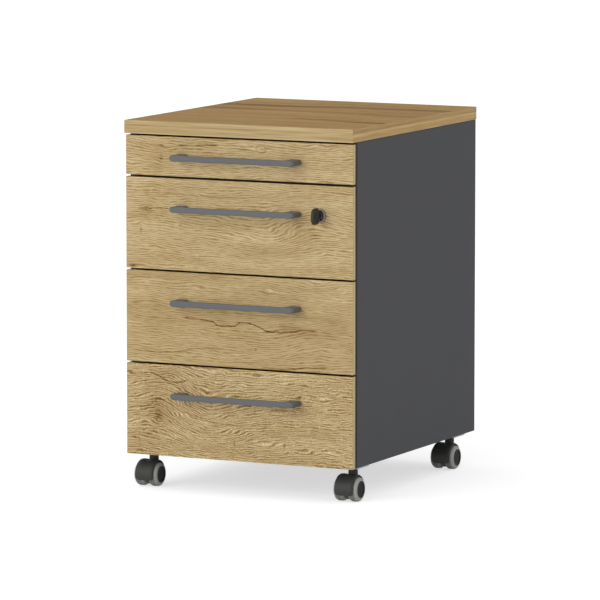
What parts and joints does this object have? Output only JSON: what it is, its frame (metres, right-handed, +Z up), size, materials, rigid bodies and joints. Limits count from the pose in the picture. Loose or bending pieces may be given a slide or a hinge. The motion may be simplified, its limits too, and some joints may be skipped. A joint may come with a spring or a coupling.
{
  "type": "rolling pedestal cabinet",
  "caption": "Low office drawer cabinet on twin-wheel castors, with bow handles, a cam lock and key, oak-look top and drawer fronts and dark side panels.",
  "frame": {"origin": "on the floor, under the middle of the cabinet's overall box", "axes": "+Z up, drawers open towards -Y, +X to the right seen from the front"},
  "size_m": [0.423, 0.5202, 0.621],
  "materials": {
    "oak_decor": "oak-look melamine board, fine horizontal grain, satin",
    "anthracite_board": "anthracite melamine board, fine pearl texture, matt",
    "drawer_board": "light grey foil-wrapped board, matt",
    "handle_metal": "satin grey metal",
    "runner_steel": "powder-coated sheet steel",
    "zinc_steel": "bright zinc plate",
    "nickel": "polished nickel plate",
    "black_plastic": "moulded black plastic, satin",
    "grey_tread": "soft grey tread on a black hub"
  },
  "bodies": {
    "cabinet": {"top_board": "oak_decor", "left_side_panel": "anthracite_board", "right_side_panel": "anthracite_board", "bottom_board": "anthracite_board", "back_panel": "anthracite_board", "lock_rail": "zinc_steel", "cabinet_1_left_runner": "runner_steel", "cabinet_1_right_runner": "runner_steel", "cabinet_2_left_runner": "runner_steel", "cabinet_2_right_runner": "runner_steel", "cabinet_3_left_runner": "runner_steel", "cabinet_3_right_runner": "runner_steel", "cabinet_4_left_runner": "runner_steel", "cabinet_4_right_runner": "runner_steel", "castor_front_left_plate": "zinc_steel", "castor_front_right_plate": "zinc_steel", "castor_rear_left_plate": "zinc_steel", "castor_rear_right_plate": "zinc_steel"},
    "drawer_1": {"drawer_1_front": "oak_decor", "drawer_1_box": "drawer_board", "drawer_1_bottom": "drawer_board", "drawer_1_handle": "handle_metal", "drawer_1_left_runner": "runner_steel", "drawer_1_right_runner": "runner_steel"},
    "drawer_2": {"drawer_2_front": "oak_decor", "drawer_2_box": "drawer_board", "drawer_2_bottom": "drawer_board", "drawer_2_handle": "handle_metal", "drawer_2_left_runner": "runner_steel", "drawer_2_right_runner": "runner_steel", "lock_housing": "nickel", "lock_nut": "zinc_steel"},
    "drawer_3": {"drawer_3_front": "oak_decor", "drawer_3_box": "drawer_board", "drawer_3_bottom": "drawer_board", "drawer_3_handle": "handle_metal", "drawer_3_left_runner": "runner_steel", "drawer_3_right_runner": "runner_steel"},
    "drawer_4": {"drawer_4_front": "oak_decor", "drawer_4_box": "drawer_board", "drawer_4_bottom": "drawer_board", "drawer_4_handle": "handle_metal", "drawer_4_left_runner": "runner_steel", "drawer_4_right_runner": "runner_steel"},
    "lock_barrel": {"lock_plug": "nickel", "lock_cam": "zinc_steel"},
    "key": {"key_blade": "nickel", "key_bow": "black_plastic"},
    "front_left_fork": {"castor_front_left_hood": "black_plastic"},
    "front_left_left_roller": {"castor_front_left_left_wheel": "grey_tread"},
    "front_left_right_roller": {"castor_front_left_right_wheel": "grey_tread"},
    "front_right_fork": {"castor_front_right_hood": "black_plastic"},
    "front_right_left_roller": {"castor_front_right_left_wheel": "grey_tread"},
    "front_right_right_roller": {"castor_front_right_right_wheel": "grey_tread"},
    "rear_left_fork": {"castor_rear_left_hood": "black_plastic"},
    "rear_left_left_roller": {"castor_rear_left_left_wheel": "grey_tread"},
    "rear_left_right_roller": {"castor_rear_left_right_wheel": "grey_tread"},
    "rear_right_fork": {"castor_rear_right_hood": "black_plastic"},
    "rear_right_left_roller": {"castor_rear_right_left_wheel": "grey_tread"},
    "rear_right_right_roller": {"castor_rear_right_right_wheel": "grey_tread"}
  },
  "joints": [
    {"name": "drawer_1_slide", "type": "slide", "parent": "cabinet", "child": "drawer_1", "axis": [0, -1, 0], "range_m": [0, 0.35]},
    {"name": "drawer_2_slide", "type": "slide", "parent": "cabinet", "child": "drawer_2", "axis": [0, -1, 0], "range_m": [0, 0.35]},
    {"name": "drawer_3_slide", "type": "slide", "parent": "cabinet", "child": "drawer_3", "axis": [0, -1, 0], "range_m": [0, 0.35]},
    {"name": "drawer_4_slide", "type": "slide", "parent": "cabinet", "child": "drawer_4", "axis": [0, -1, 0], "range_m": [0, 0.35]},
    {"name": "lock_turn", "type": "hinge", "parent": "drawer_2", "child": "lock_barrel", "pos_m": [0.1495, -0.23085, 0.477], "axis": [0, 1, 0], "range_deg": [0, 90]},
    {"name": "key_pull", "type": "slide", "parent": "lock_barrel", "child": "key", "axis": [0, -1, 0], "range_m": [0, 0.03]},
    {"name": "front_left_swivel", "type": "hinge", "parent": "cabinet", "child": "front_left_fork", "pos_m": [-0.186, -0.17885, 0.0585], "axis": [0, 0, 1], "continuous": true},
    {"name": "front_left_left_spin", "type": "hinge", "parent": "front_left_fork", "child": "front_left_left_roller", "pos_m": [-0.186, -0.19385, 0.0205], "axis": [1, 0, 0], "continuous": true},
    {"name": "front_left_right_spin", "type": "hinge", "parent": "front_left_fork", "child": "front_left_right_roller", "pos_m": [-0.186, -0.19385, 0.0205], "axis": [1, 0, 0], "continuous": true},
    {"name": "front_right_swivel", "type": "hinge", "parent": "cabinet", "child": "front_right_fork", "pos_m": [0.186, -0.17885, 0.0585], "axis": [0, 0, 1], "continuous": true},
    {"name": "front_right_left_spin", "type": "hinge", "parent": "front_right_fork", "child": "front_right_left_roller", "pos_m": [0.186, -0.19385, 0.0205], "axis": [1, 0, 0], "continuous": true},
    {"name": "front_right_right_spin", "type": "hinge", "parent": "front_right_fork", "child": "front_right_right_roller", "pos_m": [0.186, -0.19385, 0.0205], "axis": [1, 0, 0], "continuous": true},
    {"name": "rear_left_swivel", "type": "hinge", "parent": "cabinet", "child": "rear_left_fork", "pos_m": [-0.186, 0.20815, 0.0585], "axis": [0, 0, 1], "continuous": true},
    {"name": "rear_left_left_spin", "type": "hinge", "parent": "rear_left_fork", "child": "rear_left_left_roller", "pos_m": [-0.186, 0.19315, 0.0205], "axis": [1, 0, 0], "continuous": true},
    {"name": "rear_left_right_spin", "type": "hinge", "parent": "rear_left_fork", "child": "rear_left_right_roller", "pos_m": [-0.186, 0.19315, 0.0205], "axis": [1, 0, 0], "continuous": true},
    {"name": "rear_right_swivel", "type": "hinge", "parent": "cabinet", "child": "rear_right_fork", "pos_m": [0.186, 0.20815, 0.0585], "axis": [0, 0, 1], "continuous": true},
    {"name": "rear_right_left_spin", "type": "hinge", "parent": "rear_right_fork", "child": "rear_right_left_roller", "pos_m": [0.186, 0.19315, 0.0205], "axis": [1, 0, 0], "continuous": true},
    {"name": "rear_right_right_spin", "type": "hinge", "parent": "rear_right_fork", "child": "rear_right_right_roller", "pos_m": [0.186, 0.19315, 0.0205], "axis": [1, 0, 0], "continuous": true}
  ]
}
